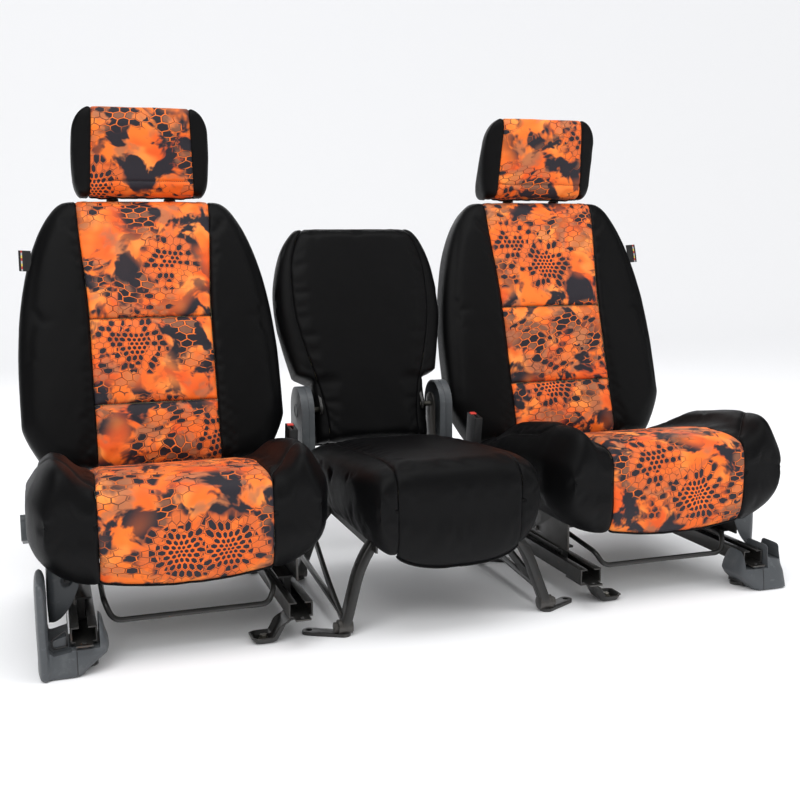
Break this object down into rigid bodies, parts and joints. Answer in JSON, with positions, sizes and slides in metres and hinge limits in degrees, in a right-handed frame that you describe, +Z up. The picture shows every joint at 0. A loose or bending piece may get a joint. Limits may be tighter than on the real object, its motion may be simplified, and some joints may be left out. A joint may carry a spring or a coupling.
{
  "type": "seat cover set",
  "caption": "Fitted printed and black cloth covers on a truck front row: bucket seats with headrests either side of a folding centre seat.",
  "frame": {"origin": "on the floor, at the centre of the centre seat's rectangle of floor bolts", "axes": "+X across the row to the driver side, +Y to the rear of the vehicle, +Z up; the seats face -Y"},
  "size_m": [1.516, 0.7897, 1.006],
  "materials": {
    "printed_cloth": "matte camouflage print on foam-backed knit",
    "black_cloth": "smooth foam-backed stretch knit with a soft sheen",
    "strap_web": "woven webbing",
    "seat_foam": "moulded polyurethane foam",
    "black_steel": "black dip paint, satin, worn at the edges",
    "zinc_steel": "zinc plated",
    "chromed_rod": "polished",
    "grey_plastic": "fine grained",
    "black_plastic": "satin",
    "red_plastic": "satin gloss"
  },
  "bodies": {
    "base": {"lower_rails": "black_steel", "rail_feet": "black_steel", "foot_covers": "grey_plastic", "center_frame": "black_steel", "center_hinge_covers": "grey_plastic", "center_hinge_pins": "zinc_steel", "center_cushion_foam": "seat_foam", "center_cushion_cover": "black_cloth"},
    "center_backrest": {"center_back_frame": "black_steel", "center_back_foam": "seat_foam", "center_back_cover_front": "black_cloth", "center_back_cover_gussets": "black_cloth", "center_back_cover_rear": "black_cloth"},
    "passenger_seat": {"passenger_upper_rails": "black_steel", "passenger_seat_frame": "black_steel", "passenger_recliner_pins": "zinc_steel", "passenger_cushion_foam": "seat_foam", "passenger_cushion_cover_center": "printed_cloth", "passenger_cushion_cover_sides": "black_cloth", "passenger_cover_straps": "strap_web", "passenger_side_shield": "grey_plastic"},
    "passenger_backrest": {"passenger_back_frame": "black_steel", "passenger_back_foam": "seat_foam", "passenger_back_cover_center": "printed_cloth", "passenger_back_cover_wings": "black_cloth", "passenger_back_cover_rear": "black_cloth", "passenger_label_tag": "strap_web", "passenger_headrest_sleeves": "black_plastic"},
    "passenger_headrest": {"passenger_headrest_foam": "seat_foam", "passenger_headrest_posts": "chromed_rod", "passenger_headrest_cover_center": "printed_cloth", "passenger_headrest_cover_sides": "black_cloth"},
    "passenger_towel_bar": {"passenger_towel_bar": "black_steel"},
    "passenger_recline_lever": {"passenger_recline_lever": "grey_plastic"},
    "passenger_buckle": {"passenger_buckle": "black_plastic"},
    "passenger_buckle_button": {"passenger_buckle_button": "red_plastic"},
    "driver_seat": {"driver_upper_rails": "black_steel", "driver_seat_frame": "black_steel", "driver_recliner_pins": "zinc_steel", "driver_cushion_foam": "seat_foam", "driver_cushion_cover_center": "printed_cloth", "driver_cushion_cover_sides": "black_cloth", "driver_cover_straps": "strap_web", "driver_side_shield": "grey_plastic"},
    "driver_backrest": {"driver_back_frame": "black_steel", "driver_back_foam": "seat_foam", "driver_back_cover_center": "printed_cloth", "driver_back_cover_wings": "black_cloth", "driver_back_cover_rear": "black_cloth", "driver_label_tag": "strap_web", "driver_headrest_sleeves": "black_plastic"},
    "driver_headrest": {"driver_headrest_foam": "seat_foam", "driver_headrest_posts": "chromed_rod", "driver_headrest_cover_center": "printed_cloth", "driver_headrest_cover_sides": "black_cloth"},
    "driver_towel_bar": {"driver_towel_bar": "black_steel"},
    "driver_recline_lever": {"driver_recline_lever": "grey_plastic"},
    "driver_buckle": {"driver_buckle": "black_plastic"},
    "driver_buckle_button": {"driver_buckle_button": "red_plastic"}
  },
  "joints": [
    {"name": "center_backrest_fold", "type": "hinge", "parent": "base", "child": "center_backrest", "pos_m": [0, 0.301, 0.345], "axis": [1, 0, 0], "range_deg": [0, 100]},
    {"name": "passenger_seat_slide", "type": "slide", "parent": "base", "child": "passenger_seat", "axis": [0, -1, 0], "range_m": [-0.08, 0.1]},
    {"name": "passenger_recline", "type": "hinge", "parent": "passenger_seat", "child": "passenger_backrest", "pos_m": [-0.475, 0.31, 0.165], "axis": [1, 0, 0], "range_deg": [-35, 14]},
    {"name": "passenger_headrest_height", "type": "slide", "parent": "passenger_backrest", "child": "passenger_headrest", "axis": [0, 0.3007, 0.9537], "range_m": [0, 0.06]},
    {"name": "passenger_towel_bar_lift", "type": "hinge", "parent": "passenger_seat", "child": "passenger_towel_bar", "pos_m": [-0.475, 0.01, 0.11], "axis": [-1, 0, 0], "range_deg": [0, 12]},
    {"name": "passenger_recline_lever_pull", "type": "hinge", "parent": "passenger_seat", "child": "passenger_recline_lever", "pos_m": [-0.475, 0.2, 0.138], "axis": [-1, 0, 0], "range_deg": [0, 30]},
    {"name": "passenger_buckle_swing", "type": "hinge", "parent": "passenger_seat", "child": "passenger_buckle", "pos_m": [-0.475, 0.232, 0.122], "axis": [1, 0, 0], "range_deg": [-8, 25]},
    {"name": "passenger_buckle_press", "type": "slide", "parent": "passenger_buckle", "child": "passenger_buckle_button", "axis": [0, 0.1736, -0.9848], "range_m": [0, 0.004]},
    {"name": "driver_seat_slide", "type": "slide", "parent": "base", "child": "driver_seat", "axis": [0, -1, 0], "range_m": [-0.08, 0.1]},
    {"name": "driver_recline", "type": "hinge", "parent": "driver_seat", "child": "driver_backrest", "pos_m": [0.475, 0.31, 0.165], "axis": [1, 0, 0], "range_deg": [-35, 14]},
    {"name": "driver_headrest_height", "type": "slide", "parent": "driver_backrest", "child": "driver_headrest", "axis": [0, 0.3007, 0.9537], "range_m": [0, 0.06]},
    {"name": "driver_towel_bar_lift", "type": "hinge", "parent": "driver_seat", "child": "driver_towel_bar", "pos_m": [0.475, 0.01, 0.11], "axis": [-1, 0, 0], "range_deg": [0, 12]},
    {"name": "driver_recline_lever_pull", "type": "hinge", "parent": "driver_seat", "child": "driver_recline_lever", "pos_m": [0.475, 0.2, 0.138], "axis": [-1, 0, 0], "range_deg": [0, 30]},
    {"name": "driver_buckle_swing", "type": "hinge", "parent": "driver_seat", "child": "driver_buckle", "pos_m": [0.475, 0.232, 0.122], "axis": [1, 0, 0], "range_deg": [-8, 25]},
    {"name": "driver_buckle_press", "type": "slide", "parent": "driver_buckle", "child": "driver_buckle_button", "axis": [0, 0.1736, -0.9848], "range_m": [0, 0.004]}
  ]
}
